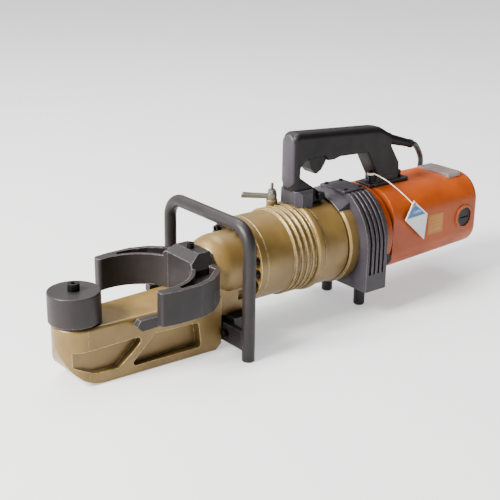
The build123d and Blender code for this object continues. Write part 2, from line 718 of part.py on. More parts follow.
def handle_half(side):
    """One moulded shell of the handle, from the middle plane out to its side."""
    with BuildPart() as half:
        with BuildSketch(Plane.XZ) as outline:
            with BuildLine():
                Polyline(handle_outer, close=True)
            make_face()
            fillet([v for v in outline.vertices() if v.Y > 246], radius=10.0)
            fillet([v for v in outline.vertices() if 20 < v.X < 40 and v.Y < 240], radius=3.5)
        extrude(amount=-side * GRIP_HALF)
        outer_rim = half.edges().group_by(Axis.Y)[0 if side < 0 else -1]
        fillet(outer_rim.filter_by(crown_edge), radius=8.0)
        outer_rim = half.edges().group_by(Axis.Y)[0 if side < 0 else -1]
        fillet(outer_rim.filter_by(grip_edge), radius=2.8)
        with BuildSketch(Plane.XZ):
            with BuildLine():
                Polyline(handle_cavity, close=True)
            make_face()
        extrude(amount=-side * (GRIP_HALF - GRIP_WALL), mode=Mode.SUBTRACT)
        block((41.8, 71.5), (-10.9, 10.9), (200, 222), mode=Mode.SUBTRACT)
    return half


handle_left = handle_half(-1)
keep(handle_left, "handle_left")
handle_right = handle_half(1)
keep(handle_right, "handle_right")

with BuildPart() as trigger:
    side_plate(
        ((42.2, 217), (42.2, 209), (46, 198), (54, 190), (63, 195), (69, 203), (71.1, 208),
         (71.1, 217)),
        -10.5, 10.5,
    )
    fillet(trigger.edges().filter_by(Axis.Y).sort_by(Axis.Z)[:3], radius=2.5)
keep(trigger, "trigger")

with BuildPart() as switch_body:
    block((40, 84), (-9, 9), (224.5, 237))
keep(switch_body, "switch_body")

with BuildPart() as handle_screws:
    for x, z in ((28, 232), (26, 184), (104, 225), (156, 222), (184, 180)):
        spindle(x, GRIP_HALF, GRIP_HALF + 1.2, z, 3.4)
keep(handle_screws, "handle_screws")

with BuildPart() as front_saddle:
    block((16.5, 47.7), (-21, 21), (130, 173.2))
    chamfer(front_saddle.edges().filter_by(Axis.Z), length=7.0)
    chamfer(front_saddle.edges().filter_by(Axis.X).group_by(Axis.Z)[-1], length=4.0)
    rod(10, X_RIM[1] + 0.2, RIM_R + 0.2, mode=Mode.SUBTRACT)
    rod(X_RIM[1], 60, BARREL_R, mode=Mode.SUBTRACT)
keep(front_saddle, "front_saddle")

with BuildPart() as saddle_bolts:
    for side in (-1, 1):
        low, high = sorted((side * GRIP_HALF, side * (GRIP_HALF + 6.0)))
        spindle(57.5, low, high, 162.5, 5.4)
keep(saddle_bolts, "saddle_bolts")

STUD = (156.0, -8.5)         # X and Y of the stud that the tag is tied to
with BuildPart() as rear_bracket:
    block((159, 224), (-15, 15), (AXIS_Z + MOTOR_HIGH, 160))
    block((164, 207), (-12, 12), (160, 168.2))
    fillet(rear_bracket.edges().filter_by(Axis.Z), radius=3.0)
    block((150, 162), (-14, 14), (157.2, 160))
    post(215.5, 0, 155.8, 161, 3.05, mode=Mode.SUBTRACT)
keep(rear_bracket, "rear_bracket")

with BuildPart() as bracket_bolts:
    cap_screw(215.5, 0, 160, 5.5, 8.0, 3.0, 4.0, 3.0)
    post(*STUD, 160, 169.5, 2.8)
    post(*STUD, 169.5, 177.0, 4.2)
keep(bracket_bolts, "bracket_bolts")

# ---- cable -----------------------------------------------------------------------------
gx0, gz0 = GUARD_START
gx1, gz1 = GUARD_END
guard_way = Vector(gx1 - gx0, 0, gz1 - gz0)
guard_length = guard_way.length
guard_plane = Plane(origin=(gx0 + 3.2, 0, gz0 - 0.9), x_dir=(0, 1, 0), z_dir=guard_way.normalized())
with BuildPart() as cable_guard:
    with BuildSketch(guard_plane):
        Circle(8.4)
    extrude(amount=5.0)
    with BuildSketch(guard_plane.offset(5.0)):
        Circle(7.2)
    with BuildSketch(guard_plane.offset(guard_length - 3.33)):
        Circle(5.2)
    loft()
    with BuildSketch(guard_plane.offset(guard_length - 8.5)):
        Circle(6.0)
    extrude(amount=4.5)
keep(cable_guard, "cable_guard")


def arc_radii(points, label):
    """A fillet radius for each inner point of a route, 0.45 of its shorter run."""
    radii = []
    for before, here, after in zip(points, points[1:], points[2:]):
        first = Vector(here) - Vector(before)
        second = Vector(after) - Vector(here)
        turn = first.get_angle(second)
        radii.append(0.45 * min(first.length, second.length) / tan(radians(turn / 2)))
    print(label, "radii", [round(r, 1) for r in radii])
    return radii


def route_tube(points, radius, label):
    radii = arc_radii(points, label)
    with BuildPart() as tube:
        with BuildLine() as way:
            FilletPolyline(*points, radius=radii)
        line = way.wire()
        with BuildSketch(Plane(origin=line @ 0, z_dir=line % 0)):
            Circle(radius)
        sweep()
    print(label, "length", round(line.length, 1), "volume ratio",
          round(tube.part.volume / (pi * radius**2 * line.length), 4))
    return tube


cable_route = (
    (GUARD_END[0], 0, GUARD_END[1]), (256, 8, 198), (276, 21, 187), (297, 34, 172), (317, 49, 157),
    (332, 63, 139.5), (340, 73, 118), (340, 80, 94), (334, 84, 68), (324, 87, 43), (309, 91, 22),
    (289, 99, 9.5), (269, 113, 4.6), (256.5, 132, 4.2), (252.2, 153, 4.2),
)
mains_cable = route_tube(cable_route, CABLE_R, "mains_cable")
keep(mains_cable, "mains_cable")

coil_x, coil_y = COIL
with BuildPart() as cable_coil:
    post(coil_x, coil_y, 0.1, 16.5, COIL_RING[1], COIL_RING[0])
    fillet(cable_coil.edges(), radius=3.5)
keep(cable_coil, "cable_coil")

PLUG = (326.5, 222.0, 27.5)   # middle of the plug body, which lies on the coil
PLUG_SLEEVE = 292.0          # where the cable enters the plug's sleeve
with BuildPart() as plug:
    block((308, 345), (208, 236), (16.5, 38.5))
    fillet(plug.edges(), radius=4.0)
    with BuildSketch(across(PLUG_SLEEVE, PLUG[1], PLUG[2])):
        Circle(4.9)
    with BuildSketch(across(310, PLUG[1], PLUG[2])):
        Circle(6.5)
    loft()
    for side in (-1, 1):
        rod(345, 364, 2.4, y=PLUG[1] + 9.5 * side, z=PLUG[2])
keep(plug, "plug")

# ---- hang tag --------------------------------------------------------------------------
TAG_Y = -61.5
TAG_CORNERS = ((186.7, 143.5), (172.6, 118.0), (211.8, 83.6), (215.6, 119.7))
with BuildPart() as hang_tag:
    side_plate(TAG_CORNERS, TAG_Y - 1.0, TAG_Y)
    spindle(188.0, TAG_Y - 2, TAG_Y + 1, 137.0, 1.8, mode=Mode.SUBTRACT)
keep(hang_tag, "hang_tag")

string_route = (
    (158.3, -12.4, 174.5), (164, -28, 169.5), (171.5, -43, 159), (180, -56, 147),
    (188, TAG_Y + 0.3, 137.0),
)
tag_string = route_tube(string_route, STRING_R, "tag_string")
keep(tag_string, "tag_string")
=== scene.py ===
"""Looks of the portable hydraulic rebar bender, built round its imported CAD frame. Metres throughout."""
import json
from math import cos, pi, radians, sin

import bmesh
import bpy
from mathutils import Matrix, Vector


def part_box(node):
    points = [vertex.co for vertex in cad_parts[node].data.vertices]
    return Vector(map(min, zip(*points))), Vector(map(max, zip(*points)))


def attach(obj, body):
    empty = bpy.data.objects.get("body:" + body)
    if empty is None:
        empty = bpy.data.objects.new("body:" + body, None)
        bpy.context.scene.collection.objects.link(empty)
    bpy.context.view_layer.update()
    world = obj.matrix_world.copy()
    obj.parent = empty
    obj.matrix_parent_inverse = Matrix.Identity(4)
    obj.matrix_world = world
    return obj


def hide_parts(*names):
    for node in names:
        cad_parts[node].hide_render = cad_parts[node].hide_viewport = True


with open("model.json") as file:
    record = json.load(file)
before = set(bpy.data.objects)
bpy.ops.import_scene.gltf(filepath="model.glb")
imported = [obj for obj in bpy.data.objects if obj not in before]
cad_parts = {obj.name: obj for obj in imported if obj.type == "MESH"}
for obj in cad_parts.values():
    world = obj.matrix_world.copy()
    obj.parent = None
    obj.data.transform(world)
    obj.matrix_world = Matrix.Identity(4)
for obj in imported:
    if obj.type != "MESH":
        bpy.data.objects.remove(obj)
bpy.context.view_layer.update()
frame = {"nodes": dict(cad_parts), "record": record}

MM = 0.001
nodes = frame["nodes"]


# ---- camera ----------------------------------------------------------------------------
CAMERA_PLACE = (-0.8378, -0.9954, 0.5632)
CAMERA_TURN = (-38.613, 20.0, 0.899)      # azimuth, elevation and roll in degrees
CAMERA_LENS, CAMERA_SENSOR = 76.55, 36.0
CAMERA_SHIFT = (-0.0019, 0.0059)
CAMERA_CLIP = (0.05, 30.0)


def place_camera():
    """Three-quarter view from the nose and a little above."""
    azimuth, elevation, roll = (radians(angle) for angle in CAMERA_TURN)
    back = Vector((sin(azimuth) * cos(elevation), -cos(azimuth) * cos(elevation), sin(elevation)))
    level_right = Vector((cos(azimuth), sin(azimuth), 0.0))
    level_up = back.cross(level_right)
    right = level_right * cos(roll) + level_up * sin(roll)
    up = level_up * cos(roll) - level_right * sin(roll)
    data = bpy.data.cameras.new("camera")
    data.sensor_width = CAMERA_SENSOR
    data.lens = CAMERA_LENS
    data.shift_x, data.shift_y = CAMERA_SHIFT
    data.clip_start, data.clip_end = CAMERA_CLIP
    camera = bpy.data.objects.new("camera", data)
    turn = Matrix((right, up, back)).transposed().to_4x4()
    camera.matrix_world = Matrix.Translation(CAMERA_PLACE) @ turn
    bpy.context.scene.collection.objects.link(camera)
    bpy.context.scene.camera = camera


# ---- cords -----------------------------------------------------------------------------
CABLE_D = 0.008
STRING_D = 0.0016
# the routes and the coil are in millimetres
CABLE_ROUTE = (
    (240.6, 0, 201.7), (256, 8, 198), (276, 21, 187), (297, 34, 172), (317, 49, 157),
    (332, 63, 139.5), (340, 73, 118), (340, 80, 94), (334, 84, 68), (324, 87, 43), (309, 91, 22),
    (289, 99, 9.5), (269, 113, 4.6), (256.5, 132, 4.2), (252.2, 153, 4.2),
)
COIL_CENTRE = (305.0, 178.0)
COIL_OUTER = 53.2             # radius of the first turn
COIL_PITCH = 8.1              # spacing of the turns beside each other
COIL_HEIGHTS = (4.2, 12.4)    # of the lower and the upper layer
TURN_POINTS = 16              # control points to a turn
CORD_SECTION = 5              # bevel resolution of a cord
CORD_STEPS = 8                # segments between two control points
CABLE_END = ((261.3, 203.3, 15.8), (271.5, 214.5, 21.5), (281.5, 220.5, 26.3), (292, 222, 27.5))
STRING_ROUTE = (
    (158.3, -12.4, 174.5), (164, -28, 169.5), (171.5, -43, 159), (180, -56, 147), (188, -61.2, 137.0),
)


def coil_points():
    """The put-away turns: a spiral inwards on the floor, a climb, and a spiral outwards on top."""
    middle_x, middle_y = COIL_CENTRE
    lower, upper = COIL_HEIGHTS
    # two and a half turns in, a third of a turn up, and a little over two turns out
    inwards, climb, outwards = 5 * TURN_POINTS // 2, TURN_POINTS // 3, 2 * TURN_POINTS + 3
    points = []
    for step in range(inwards + climb + outwards + 1):
        angle = pi - 2 * pi * step / TURN_POINTS
        turns = min(step, inwards) - max(step - inwards - climb, 0)
        radius = COIL_OUTER - COIL_PITCH * turns / TURN_POINTS
        lift = min(max(step - inwards, 0) / climb, 1.0)
        height = lower + lift * (upper - lower)
        points.append((middle_x + radius * cos(angle), middle_y + radius * sin(angle), height))
    return points


def cord_curve(name, points, diameter):
    """One open smooth spline with the points, in millimetres, as its control points."""
    data = bpy.data.curves.new(name, "CURVE")
    data.dimensions = "3D"
    data.bevel_depth = diameter / 2
    data.bevel_resolution = CORD_SECTION
    data.use_fill_caps = True
    spline = data.splines.new("NURBS")
    spline.points.add(len(points) - 1)
    for point, place in zip(spline.points, points):
        point.co = (place[0] * MM, place[1] * MM, place[2] * MM, 1.0)
    spline.order_u = 3
    spline.use_endpoint_u = True
    spline.resolution_u = CORD_STEPS
    curve = bpy.data.objects.new(name, data)
    bpy.context.scene.collection.objects.link(curve)
    return curve


place_camera()

lead = cord_curve("mains_lead", [*CABLE_ROUTE, *coil_points(), *CABLE_END], CABLE_D)
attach(lead, "tool_body")
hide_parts("mains_cable", "cable_coil")

string = cord_curve("tag_cord", STRING_ROUTE, STRING_D)
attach(string, "tool_body")
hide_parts("tag_string")


# ---- materials -------------------------------------------------------------------------
LOOK_SAMPLES = 6              # rays of the bevel and crevice nodes
PLANE_SOFT = 0.0002           # width over which a printed edge fades
# reach of the ambient occlusion that paints shade into crevices
CREVICE_REACH = 0.009
EDGE_BREAKUP_SCALE, SMEAR_SCALE = 240.0, 60.0    # lumps per metre
SHADE_SHARE = 0.25             # how much of the dark colour is left in the painted shade of crevices
LAMINATION_PITCH = 0.001
TRACK_PITCH = 0.0023          # of the streaks on the commutator
ROW_PITCH = 0.0052            # of the blank rows on a plate
ACROSS_TAG = Vector((0, 1, 0))            # the tag lies in a plane of X and Z


def colour(red, green, blue):
    """Linear RGBA from 0-255 display values."""

    def linear(value):
        share = value / 255
        return share / 12.92 if share <= 0.04045 else ((share + 0.055) / 1.055) ** 2.4

    return (linear(red), linear(green), linear(blue), 1.0)


class Finish:
    """A node material being made: object coordinates in, one principled shader out."""

    def __init__(self, name, **uniform):
        self.material = bpy.data.materials.new(name)
        self.material.use_nodes = True
        self.tree = self.material.node_tree
        self.shader = self.tree.nodes["Principled BSDF"]
        self.place = self.add("ShaderNodeTexCoord").outputs["Object"]
        for socket, value in uniform.items():
            self.shader.inputs[socket.replace("_", " ")].default_value = value

    def add(self, kind, **settings):
        """A new node with its own settings."""
        node = self.tree.nodes.new(kind)
        for name, value in settings.items():
            setattr(node, name, value)
        return node

    def feed(self, socket, value):
        """Give a socket another socket's value, or a plain one."""
        if isinstance(value, bpy.types.NodeSocket):
            self.tree.links.new(value, socket)
        else:
            socket.default_value = value

    def math(self, operation, first, second=0.0):
        """What a math node makes of one or two values."""
        node = self.add("ShaderNodeMath", operation=operation)
        for socket, value in zip(node.inputs, (first, second)):
            self.feed(socket, value)
        return node.outputs[0]

    def noise(self, scale, detail=3.0, stretch=(1, 1, 1)):
        """Noise of about scale lumps per metre, stretched along an axis where stretch is small."""
        mapping = self.add("ShaderNodeMapping")
        self.feed(mapping.inputs["Vector"], self.place)
        mapping.inputs["Scale"].default_value = stretch
        node = self.add("ShaderNodeTexNoise")
        self.feed(node.inputs["Vector"], mapping.outputs["Vector"])
        node.inputs["Scale"].default_value = scale
        node.inputs["Detail"].default_value = detail
        return node.outputs["Fac"]

    def spread(self, value, low, high, bottom, top):
        """Value's span low to high becomes bottom to top, and stays inside it."""
        node = self.add("ShaderNodeMapRange")
        for socket, number in zip(node.inputs, (value, low, high, bottom, top)):
            self.feed(socket, number)
        return node.outputs["Result"]

    def mix(self, share, first, second):
        """The first colour where share is 0, the second where it is 1."""
        node = self.add("ShaderNodeMix", data_type="RGBA")
        colour_a, colour_b = node.inputs[6:8]
        self.feed(node.inputs["Factor"], share)
        self.feed(colour_a, first)
        self.feed(colour_b, second)
        return node.outputs[2]

    def rounded(self, radius):
        """The normal with edges rounded off by radius."""
        node = self.add("ShaderNodeBevel", samples=LOOK_SAMPLES)
        node.inputs["Radius"].default_value = radius
        return node.outputs["Normal"]

    def edges(self, rounded):
        """1 on sharp outer and inner edges, 0 on open faces."""
        plain = self.add("ShaderNodeNewGeometry").outputs["Normal"]
        dot = self.add("ShaderNodeVectorMath", operation="DOT_PRODUCT")
        self.feed(dot.inputs[0], rounded)
        self.feed(dot.inputs[1], plain)
        return self.spread(dot.outputs["Value"], 0.90, 0.995, 1.0, 0.0)

    def crevices(self, distance):
        """1 in the open, towards 0 where surfaces meet inwards."""
        node = self.add("ShaderNodeAmbientOcclusion", samples=LOOK_SAMPLES)
        node.inputs["Distance"].default_value = distance
        return node.outputs["AO"]

    def past(self, point, direction):
        """1 beyond the plane through point across direction, 0 before it, in metres."""
        ahead = Vector(direction).normalized()
        dot = self.add("ShaderNodeVectorMath", operation="DOT_PRODUCT")
        self.feed(dot.inputs[0], self.place)
        dot.inputs[1].default_value = ahead
        start = Vector(point).dot(ahead)
        return self.spread(dot.outputs["Value"], start - PLANE_SOFT, start + PLANE_SOFT, 0.0, 1.0)

    def inside(self, walls):
        """1 where every (point, direction) wall is behind."""
        mask = 1.0
        for point, direction in walls:
            mask = self.math("MULTIPLY", self.past(point, direction), mask)
        return mask

    def bump(self, height, depth, normal=None):
        """The normal of a surface that height lifts by up to depth, on top of another normal."""
        node = self.add("ShaderNodeBump")
        node.inputs["Strength"].default_value = 1.0
        node.inputs["Distance"].default_value = depth
        self.feed(node.inputs["Height"], height)
        if normal is not None:
            self.feed(node.inputs["Normal"], normal)
        return node.outputs["Normal"]

    def done(self, base, rough, normal):
        """The finished material."""
        self.feed(self.shader.inputs["Base Color"], base)
        self.feed(self.shader.inputs["Roughness"], rough)
        self.feed(self.shader.inputs["Normal"], normal)
        return self.material


def surface(name, base, dark, edge, rough=(0.3, 0.45), edge_size=0.0008, wear_and_highlight=0.6, grain=0.00004,
            grain_scale=900.0, patch_scale=22.0, stretch=(1, 1, 1), crevice_shade=0.5, pattern=None, **uniform):
    """A worn surface: patches between two colours, lighter edges that are partly rubbed paint and partly
    painted highlight, painted shade where faces meet, fine grain.
    """
    make = Finish(name, **uniform)
    patches = make.spread(make.noise(patch_scale, 5.0), 0.35, 0.65, 0.0, 1.0)
    base_colour = make.mix(patches, base, dark)
    if pattern:
        base_colour = pattern(make, base_colour)
    round_normal = make.rounded(edge_size)
    # painted highlight and rubbed paint: sharp edges found by the bevel normal turn towards the lighter
    # edge colour
    edge_breakup = make.spread(make.noise(EDGE_BREAKUP_SCALE, 4.0), 0.35, 0.62, 0.25, 1.0)
    worn_and_lit = make.math("MULTIPLY", make.math("MULTIPLY", make.edges(round_normal), edge_breakup), wear_and_highlight)
    base_colour = make.mix(worn_and_lit, base_colour, edge)
    # painted shade: where surfaces meet inwards the colour darkens towards a dark copy of the paint
    painted_shade = make.spread(make.crevices(CREVICE_REACH), 0.25, 0.85, crevice_shade, 0.0)
    shade_colour = tuple(channel * SHADE_SHARE for channel in dark[:3]) + (1.0,)
    base_colour = make.mix(painted_shade, base_colour, shade_colour)
    smears = make.spread(make.noise(SMEAR_SCALE, 6.0), 0.3, 0.7, *rough)
    fine = make.noise(grain_scale, 2.0, stretch)
    return make.done(base_colour, smears, make.bump(fine, grain, round_normal))


def waves(make, axis, pitch):
    """A sine along an axis, 0 for X to 2 for Z, one wave to each pitch."""
    parts = make.add("ShaderNodeSeparateXYZ")
    make.feed(parts.inputs[0], make.place)
    return make.math("SINE", make.math("MULTIPLY", parts.outputs[axis], 2 * pi / pitch))


def laminated(make, base_colour):
    """Thin sheets stacked along the axis."""
    gaps = make.spread(waves(make, 0, LAMINATION_PITCH), 0.4, 0.9, 0.0, 0.7)
    return make.mix(gaps, base_colour, colour(30, 28, 28))


def segmented(make, base_colour):
    """Streaks that the brushes leave round a commutator."""
    tracks = make.spread(waves(make, 0, TRACK_PITCH), 0.2, 1.0, 0.0, 0.5)
    return make.mix(tracks, base_colour, colour(90, 50, 30))


TAG_CORNERS = ((172.6, 118), (215.6, 119.7), (186.7, 143.5))   # left, right and top: x and z in mm
TAG_MARGIN = 0.0022           # from the tag's edge to the panel
PANEL_SPAN = (0.0012, 0.0165)             # from the left-to-right diagonal upwards
BAR_SPAN = (0.0062, 0.0098)
BAR_ENDS = (0.1865, 0.2015)               # along X


def tag_print(make, base_colour):
    """A blue panel above the tag's diagonal, with one pale bar and no words."""
    left, right, apex = (Vector((x * MM, 0, z * MM)) for x, z in TAG_CORNERS)
    middle = (left + right + apex) / 3
    over = (left - right).cross(ACROSS_TAG).normalized()
    if over.z < 0:
        over = -over

    def wall(start, end):
        inward = (end - start).normalized().cross(ACROSS_TAG)
        inward = inward if (middle - start).dot(inward) > 0 else -inward
        return start + inward * TAG_MARGIN, inward

    def band(low, high):
        return [(left + over * low, over), (left + over * high, -over)]

    panel = make.inside([wall(left, apex), wall(apex, right), *band(*PANEL_SPAN)])
    bar_left, bar_right = (Vector((x, 0, 0)) for x in BAR_ENDS)
    bar = make.inside([*band(*BAR_SPAN), (bar_left, (1, 0, 0)), (bar_right, (-1, 0, 0))])
    smudge = make.math("MULTIPLY", bar, make.spread(make.noise(420.0, 2.0), 0.42, 0.6, 0.15, 0.85))
    printed = make.mix(smudge, colour(35, 95, 150), colour(150, 195, 225))
    return make.mix(panel, base_colour, printed)


def plate_frame(low, high, axes, line, ink):
    """A pattern: an inked frame, one line wide, and blank rows on a plate from low to high."""
    def pattern(make, base_colour):
        def inset_by(inset):
            corner_low = Vector([a + inset for a in low])
            corner_high = Vector([a - inset for a in high])
            walls = []
            for axis in axes:
                out = Vector((0, 0, 0))
                out[axis] = 1.0
                walls += [(corner_low, out), (corner_high, -out)]
            return make.inside(walls)

        border = make.math("SUBTRACT", inset_by(line), inset_by(2 * line))
        rows = make.spread(waves(make, axes[1], ROW_PITCH), 0.55, 0.75, 0.0, 0.45)
        inked = make.math("MULTIPLY", rows, inset_by(4 * line))
        return make.mix(make.math("MAXIMUM", border, inked), base_colour, ink)

    return pattern


CREAM = colour(240, 220, 172)             # lighter edges of the gold enamel: partly rubbed paint, partly painted highlight
plate_low, plate_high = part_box("nameplate")
label_low, label_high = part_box("side_label")
materials = {
    # each surface: name, colour, darker colour in patches, colour of the lighter edges (partly rubbed
    # paint, partly painted highlight)
    "champagne_gold": surface(
        "gold_enamel", colour(122, 99, 52), colour(102, 80, 40), CREAM, rough=(0.34, 0.46),
        wear_and_highlight=0.95, edge_size=0.0011, grain=0.00003, Metallic=0.35, Coat_Weight=0.1,
        Coat_Roughness=0.25),
    "black_paint": surface(
        "black_enamel", colour(34, 30, 31), colour(25, 22, 23), colour(160, 146, 150),
        rough=(0.36, 0.5), wear_and_highlight=0.7, edge_size=0.0011, grain=0.00006, grain_scale=700.0,
        Specular_IOR_Level=0.28),
    "black_oxide_steel": surface(
        "black_oxide", colour(24, 22, 24), colour(17, 15, 17), colour(120, 115, 115),
        rough=(0.3, 0.45), wear_and_highlight=0.35, edge_size=0.0003, Metallic=0.8),
    "hard_steel": surface(
        "ground_steel", colour(190, 190, 195), colour(165, 165, 170), colour(230, 230, 230),
        rough=(0.16, 0.28), wear_and_highlight=0.3, grain=0.00001, stretch=(0.03, 1, 1), crevice_shade=0.3, Metallic=1.0),
    "seal_rubber": surface(
        "seal_rubber", colour(32, 32, 33), colour(24, 24, 25), colour(60, 60, 60),
        rough=(0.55, 0.75), wear_and_highlight=0.2),
    "bronze": surface(
        "bronze", colour(190, 150, 90), colour(165, 125, 70), colour(230, 200, 140),
        rough=(0.25, 0.4), Metallic=1.0),
    "grey_casting": surface(
        "grey_casting", colour(62, 58, 64), colour(48, 45, 51), colour(165, 158, 160),
        rough=(0.38, 0.52), wear_and_highlight=0.6, grain=0.00009, grain_scale=620.0, Metallic=0.3,
        Specular_IOR_Level=0.35),
    "orange_paint": surface(
        "orange_enamel", colour(160, 70, 12), colour(138, 56, 10), colour(245, 160, 110),
        rough=(0.36, 0.48), wear_and_highlight=0.5, grain=0.00005, grain_scale=500.0, Specular_IOR_Level=0.3),
    "laminations": surface(
        "lamination_stack", colour(120, 118, 120), colour(96, 94, 98), colour(190, 190, 190),
        rough=(0.35, 0.5), pattern=laminated, Metallic=0.8),
    "copper": surface(
        "commutator_copper", colour(196, 120, 80), colour(170, 98, 62), colour(235, 170, 130),
        rough=(0.2, 0.35), pattern=segmented, Metallic=1.0),
    "carbon": surface(
        "brush_carbon", colour(40, 40, 42), colour(28, 28, 30), colour(80, 80, 82),
        rough=(0.5, 0.7)),
    "black_plastic": surface(
        "moulded_plastic", colour(17, 14, 15), colour(12, 10, 11), colour(70, 64, 66),
        rough=(0.42, 0.56), wear_and_highlight=0.3, grain=0.00007, grain_scale=1100.0,
        Specular_IOR_Level=0.25),
    "lever_steel": surface(
        "plated_steel", colour(132, 130, 116), colour(104, 102, 90), colour(200, 196, 180),
        rough=(0.28, 0.45), wear_and_highlight=0.6, edge_size=0.0004, Metallic=0.85),
    "plate": surface(
        "rating_plate", colour(150, 138, 136), colour(130, 118, 116), colour(215, 200, 195),
        rough=(0.35, 0.5), edge_size=0.0004, Metallic=0.5,
        pattern=plate_frame(plate_low, plate_high, (0, 1), 0.0014, colour(84, 74, 74))),
    "label": surface(
        "side_film", colour(172, 112, 14), colour(158, 92, 10), colour(200, 140, 50),
        rough=(0.4, 0.55), wear_and_highlight=0.2, edge_size=0.0002, crevice_shade=0.2,
        pattern=plate_frame(label_low, label_high, (0, 2), 0.001, colour(134, 84, 12))),
    "tag": surface(
        "tag_card", colour(214, 212, 216), colour(198, 196, 202), colour(240, 225, 215),
        rough=(0.3, 0.42), wear_and_highlight=0.3, edge_size=0.0003, crevice_shade=0.1, pattern=tag_print),
    "string": surface(
        "cotton_string", colour(236, 216, 196), colour(216, 190, 168), colour(245, 235, 225),
        rough=(0.7, 0.85), wear_and_highlight=0.1, grain=0.0002, grain_scale=2600.0, crevice_shade=0.2),
    "cable_rubber": surface(
        "cable_rubber", colour(16, 14, 16), colour(12, 10, 12), colour(64, 62, 64),
        rough=(0.5, 0.65), wear_and_highlight=0.1, grain=0.00005, grain_scale=1500.0,
        Specular_IOR_Level=0.2),
}


def paint(piece, slot_name):
    """Give a piece the finish of a material slot, and no other."""
    piece.data.materials.clear()
    piece.data.materials.append(materials[slot_name])


for part in frame["record"]["subparts"]:
    paint(nodes[part["node"]], part["material_slot"])
for piece, slot_name in ((lead, "cable_rubber"), (string, "string")):
    paint(piece, slot_name)


# ---- small pieces ----------------------------------------------------------------------
def mesh_piece(name, build, body, slot_name):
    """A smooth mesh object from a function that fills a bmesh, riding on a body."""
    shape = bmesh.new()
    build(shape)
    bmesh.ops.recalc_face_normals(shape, faces=shape.faces)
    data = bpy.data.meshes.new(name)
    shape.to_mesh(data)
    shape.free()
    data.shade_smooth()
    piece = bpy.data.objects.new(name, data)
    bpy.context.scene.collection.objects.link(piece)
    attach(piece, body)
    paint(piece, slot_name)


def bands(shape, pairs):
    """Faces between each pair of rings of vertices."""
    for near, far in pairs:
        for index in range(len(near)):
            following = (index + 1) % len(near)
            shape.faces.new((near[index], near[following], far[following], far[index]))


def skin(shape, rings):
    """Faces between neighbouring rings of vertices, and a cap on each end."""
    bands(shape, zip(rings, rings[1:]))
    shape.faces.new(list(reversed(rings[0])))
    shape.faces.new(rings[-1])


def circle(centre, side, other, radius, count):
    """Points round centre, starting on side and turning towards other."""
    angles = [2 * pi * k / count for k in range(count)]
    return [centre + radius * (side * cos(angle) + other * sin(angle)) for angle in angles]


def tube(shape, points, radii, sides, closed=False):
    """A tube through points with a radius at each, its section turned to follow them."""
    rings = []
    count = len(points)
    side = None
    for index, (middle, radius) in enumerate(zip(points, radii)):
        if closed:
            ahead = points[(index + 1) % count] - points[index - 1]
        else:
            ahead = points[min(index + 1, count - 1)] - points[max(index - 1, 0)]
        ahead.normalize()
        start = side if side is not None else ahead.orthogonal()
        side = (start - ahead * start.dot(ahead)).normalized()
        other = ahead.cross(side)
        rings.append([shape.verts.new(p) for p in circle(middle, side, other, radius, sides)])
    if closed:
        # the last ring's section may be turned against the first, so match the nearest vertex
        first = rings[0][0].co
        shift = min(range(sides), key=lambda k: (rings[-1][k].co - first).length)
        turned = [rings[-1][(k + shift) % sides] for k in range(sides)]
        bands(shape, [*zip(rings, rings[1:]), (turned, rings[0])])
    else:
        skin(shape, rings)


def axes_across(axis):
    """Unit vectors along an axis and two ways across it."""
    ahead = Vector(axis).normalized()
    side = ahead.orthogonal().normalized()
    return ahead, side, ahead.cross(side)


def lathe(profile, centre, axis, sides):
    """A builder that turns (radius, height) points about an axis through centre."""
    def build(shape):
        ahead, side, other = axes_across(axis)
        rings = []
        for radius, height in profile:
            turned = circle(Vector(centre) + ahead * height, side, other, radius, sides)
            rings.append([shape.verts.new(p) for p in turned])
        skin(shape, rings)

    return build


RIVET_INSET = 0.003           # from the plate's edges
RIVET_R, RIVET_HIGH, RIVET_DEEP, RIVET_FLAT = 0.0013, 0.0007, 0.0003, 0.0002
RIVET_SIDES, DOME_STEPS = 20, 5


def rivet(x, y):
    """A small domed rivet head on the nameplate."""
    profile = [(RIVET_R, -RIVET_DEEP)]
    for step in range(DOME_STEPS):
        angle = pi / 2 * step / DOME_STEPS
        profile.append((RIVET_R * cos(angle), RIVET_HIGH * sin(angle)))
    profile.append((RIVET_FLAT, RIVET_HIGH))
    return lathe(profile, (x, y, plate_high.z), (0, 0, 1), RIVET_SIDES)


def spots(across, along):
    """Numbered places, one for each pair of an x and a y."""
    return enumerate(((x, y) for x in across for y in along), start=1)


rivet_x = (plate_low.x + RIVET_INSET, plate_high.x - RIVET_INSET)
rivet_y = (plate_low.y + RIVET_INSET, plate_high.y - RIVET_INSET)
for number, (x, y) in spots(rivet_x, rivet_y):
    mesh_piece(f"plate_rivet_{number}", rivet(x, y), "tool_body", "lever_steel")

HANDLE_FRONT = 0.015
PAD_BOTTOM, PAD_TOP, PAD_HALF = 0.1755, 0.2455, 0.0118
PAD_PROUD = 0.0008            # how far it stands out
PAD_STEPS = 40
# the pad's section from the back: where it is along X, and how much it draws in
PAD_SECTION = (
    (HANDLE_FRONT + 0.0035, 0.0), (HANDLE_FRONT + 0.0012, 0.0),
    (HANDLE_FRONT - 0.4 * PAD_PROUD, 0.0008), (HANDLE_FRONT - PAD_PROUD, 0.0024),
)


def sheen_pad(shape):
    """The pale pad on the handle's front: a stadium with rounded edges, a painted sheen of the key light
    on the dark front face.
    """
    outline = []
    for step in range(PAD_STEPS):
        angle = 2 * pi * step / PAD_STEPS
        middle = PAD_TOP - PAD_HALF if sin(angle) >= 0 else PAD_BOTTOM + PAD_HALF
        outline.append((cos(angle), sin(angle), middle))
    rings = []
    for x, shrink in PAD_SECTION:
        half = PAD_HALF - shrink
        rings.append([shape.verts.new((x, half * y, middle + half * z)) for y, z, middle in outline])
    skin(shape, rings)


# painted highlight: a pale grey pad stands in for the key light's sheen on the black handle front
mesh_piece("sheen_pad", sheen_pad, "tool_body", "grey_casting")

